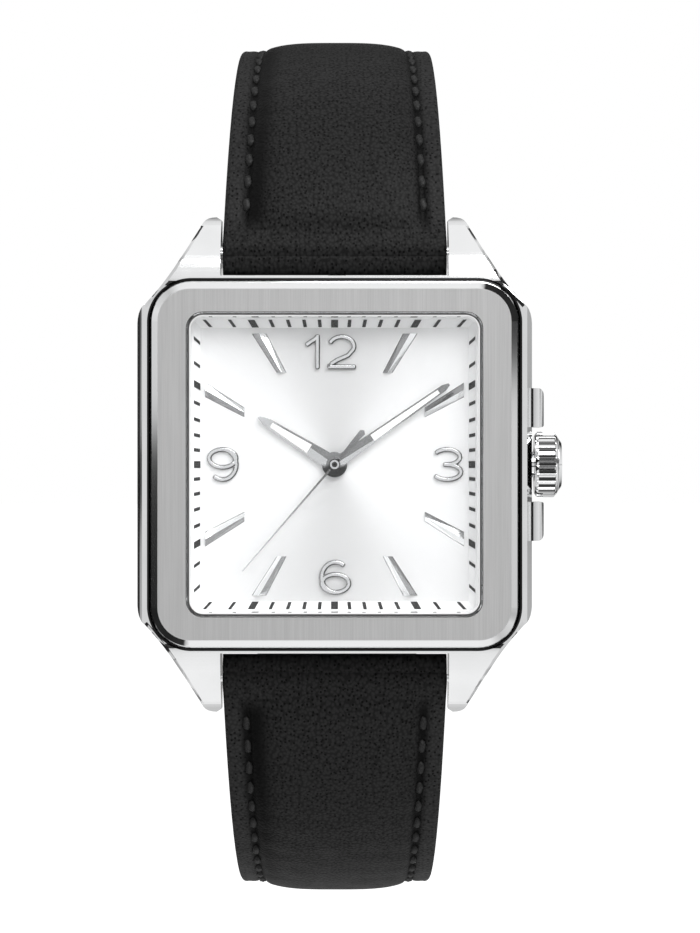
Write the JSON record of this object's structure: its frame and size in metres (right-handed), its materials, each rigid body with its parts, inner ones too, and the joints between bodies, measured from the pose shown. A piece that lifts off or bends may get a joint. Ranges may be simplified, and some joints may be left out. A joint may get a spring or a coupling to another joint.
{
  "type": "rectangular wristwatch",
  "caption": "Square-cased automatic wristwatch with a flat crystal, fluted crown, display back and open black leather strap with a pin buckle.",
  "frame": {"origin": "middle of the case back's outer face, on the axis of the hands", "axes": "-Y out of the dial towards the eye, +Y out of the case back, +Z to 12 o'clock, +X to 3 o'clock and the crown"},
  "size_m": [0.041, 0.0951, 0.086],
  "materials": {
    "polished_steel": "polished and brushed steel",
    "bezel_steel": "vertical brushing with polished edges",
    "buckle_steel": "polished",
    "crystal": "flat sapphire",
    "gasket": "black seal",
    "dial": "silver white sunburst",
    "applied": "polished rhodium",
    "lume": "pale filling",
    "seconds_steel": "polished",
    "movement_plate": "rhodium plate, striped and grained",
    "movement_steel": "polished steel",
    "rotor": "striped heavy metal",
    "gilt": "gilt",
    "blued_steel": "blued",
    "ruby": "synthetic ruby",
    "holder": "moulded",
    "strap_leather": "black pebbled calf",
    "lining_leather": "smooth black lining"
  },
  "bodies": {
    "case": {"case_middle": "polished_steel", "bezel": "bezel_steel", "crystal": "crystal", "crystal_gasket": "gasket", "minute_track_ring": "dial", "dial": "dial", "hour_batons": "applied", "hour_numerals": "applied", "case_back": "polished_steel", "case_back_window": "crystal", "case_back_gasket": "gasket", "case_back_screws": "polished_steel", "crown_tube": "polished_steel", "movement_holder": "holder", "main_plate": "movement_plate", "barrel_bridge": "movement_plate", "train_bridge": "movement_plate", "balance_cock": "movement_plate", "pallet_bridge": "movement_plate", "bridge_screws": "blued_steel", "jewels": "ruby", "click": "movement_steel", "rotor_bearing": "movement_steel", "lug_spring_bars": "buckle_steel"},
    "winding_works": {"winding_pinion": "movement_steel", "sliding_pinion": "movement_steel"},
    "crown": {"crown": "polished_steel", "stem": "movement_steel", "crown_gasket": "gasket"},
    "setting_lever": {"setting_lever": "movement_steel"},
    "crown_wheel": {"crown_wheel": "movement_steel"},
    "ratchet_wheel": {"ratchet_wheel": "movement_steel"},
    "barrel": {"mainspring_barrel": "gilt", "mainspring": "movement_steel"},
    "second_wheel": {"second_wheel": "gilt"},
    "third_wheel": {"third_wheel": "gilt"},
    "seconds": {"fourth_wheel": "gilt", "seconds_hand": "seconds_steel"},
    "escape_wheel": {"escape_wheel": "movement_steel"},
    "pallet_fork": {"pallet_fork": "movement_steel"},
    "balance": {"balance_wheel": "gilt", "hairspring": "blued_steel"},
    "rotor": {"rotor": "rotor"},
    "minutes": {"cannon_pinion": "movement_steel", "minute_hand": "applied", "minute_hand_lume": "lume"},
    "minute_wheel": {"minute_wheel": "gilt"},
    "hours": {"hour_wheel": "gilt", "hour_hand": "applied", "hour_hand_lume": "lume"},
    "strap_upper": {"strap_upper": "strap_leather", "strap_upper_lining": "lining_leather", "fixed_keeper": "strap_leather", "buckle_spring_bar": "buckle_steel"},
    "sliding_keeper": {"sliding_keeper": "strap_leather"},
    "buckle_frame": {"buckle_frame": "buckle_steel"},
    "buckle_tongue": {"buckle_tongue": "buckle_steel"},
    "strap_lower": {"strap_lower": "strap_leather", "strap_lower_lining": "lining_leather"}
  },
  "joints": [
    {"name": "upper_strap_swing", "type": "hinge", "parent": "case", "child": "strap_upper", "pos_m": [0, -0.0032, 0.02075], "axis": [1, 0, 0], "range_deg": [-3, 60]},
    {"name": "lower_strap_swing", "type": "hinge", "parent": "case", "child": "strap_lower", "pos_m": [0, -0.0032, -0.02075], "axis": [-1, 0, 0], "range_deg": [-3, 60]},
    {"name": "keeper_slide", "type": "slide", "parent": "strap_upper", "child": "sliding_keeper", "axis": [0, 0.766, -0.6428], "range_m": [-0.0028, 0.0028]},
    {"name": "buckle_swing", "type": "hinge", "parent": "strap_upper", "child": "buckle_frame", "pos_m": [0, 0.05329, 0.02368], "axis": [1, 0, 0], "range_deg": [-35, 35]},
    {"name": "tongue_lift", "type": "hinge", "parent": "buckle_frame", "child": "buckle_tongue", "pos_m": [0, 0.05329, 0.02368], "axis": [1, 0, 0], "range_deg": [0, 70]},
    {"name": "crown_turn", "type": "hinge", "parent": "case", "child": "winding_works", "pos_m": [0, -0.00475, 0], "axis": [1, 0, 0], "continuous": true},
    {"name": "crown_pull", "type": "slide", "parent": "winding_works", "child": "crown", "axis": [1, 0, 0], "range_m": [0, 0.0009]},
    {"name": "setting_lever_turn", "type": "hinge", "parent": "case", "child": "setting_lever", "pos_m": [0.00915, -0.0067, 0.003], "axis": [0, -1, 0], "range_deg": [0, 22.5]},
    {"name": "crown_wheel_turn", "type": "hinge", "parent": "case", "child": "crown_wheel", "pos_m": [0.005, -0.003, 0], "axis": [0, 1, 0], "continuous": true},
    {"name": "ratchet_turn", "type": "hinge", "parent": "case", "child": "ratchet_wheel", "pos_m": [0.0032, -0.003, 0.0062], "axis": [0, 1, 0], "continuous": true},
    {"name": "seconds_turn", "type": "hinge", "parent": "case", "child": "seconds", "pos_m": [0, -0.0032, 0], "axis": [0, 1, 0], "continuous": true},
    {"name": "third_wheel_turn", "type": "hinge", "parent": "case", "child": "third_wheel", "pos_m": [-0.00329, -0.0042, 0.00085], "axis": [0, 1, 0], "continuous": true},
    {"name": "second_wheel_turn", "type": "hinge", "parent": "case", "child": "second_wheel", "pos_m": [-0.0024, -0.0047, 0.0048], "axis": [0, 1, 0], "continuous": true},
    {"name": "barrel_turn", "type": "hinge", "parent": "case", "child": "barrel", "pos_m": [0.0032, -0.004, 0.0062], "axis": [0, 1, 0], "continuous": true},
    {"name": "escape_wheel_turn", "type": "hinge", "parent": "case", "child": "escape_wheel", "pos_m": [0.00082, -0.0047, -0.00308], "axis": [0, 1, 0], "continuous": true},
    {"name": "pallet_rock", "type": "hinge", "parent": "case", "child": "pallet_fork", "pos_m": [0.00257, -0.0047, -0.00442], "axis": [0, 1, 0], "range_deg": [-5, 5]},
    {"name": "balance_swing", "type": "hinge", "parent": "case", "child": "balance", "pos_m": [0.0049, -0.0039, -0.0062], "axis": [0, 1, 0], "range_deg": [-120, 120], "stiffness_Nm_per_rad": 0.00000043},
    {"name": "rotor_turn", "type": "hinge", "parent": "case", "child": "rotor", "pos_m": [0, -0.0019, 0], "axis": [0, 1, 0], "continuous": true},
    {"name": "minute_turn", "type": "hinge", "parent": "case", "child": "minutes", "pos_m": [0, -0.008, 0], "axis": [0, 1, 0], "continuous": true},
    {"name": "minute_wheel_turn", "type": "hinge", "parent": "case", "child": "minute_wheel", "pos_m": [-0.0017, -0.0069, -0.0017], "axis": [0, 1, 0], "continuous": true},
    {"name": "hour_turn", "type": "hinge", "parent": "case", "child": "hours", "pos_m": [0, -0.0075, 0], "axis": [0, 1, 0], "continuous": true}
  ],
  "couplings": [
    {"joint": "setting_lever_turn", "follows": "crown_pull", "rad_per_m": 410.21},
    {"joint": "crown_wheel_turn", "follows": "crown_turn", "ratio": -0.66667},
    {"joint": "ratchet_turn", "follows": "crown_turn", "ratio": 0.27586},
    {"joint": "third_wheel_turn", "follows": "seconds_turn", "ratio": -0.13333},
    {"joint": "second_wheel_turn", "follows": "seconds_turn", "ratio": 0.016667},
    {"joint": "barrel_turn", "follows": "seconds_turn", "ratio": -0.002381},
    {"joint": "escape_wheel_turn", "follows": "seconds_turn", "ratio": -12},
    {"joint": "minute_wheel_turn", "follows": "minute_turn", "ratio": -0.33333},
    {"joint": "hour_turn", "follows": "minute_turn", "ratio": 0.083333}
  ]
}
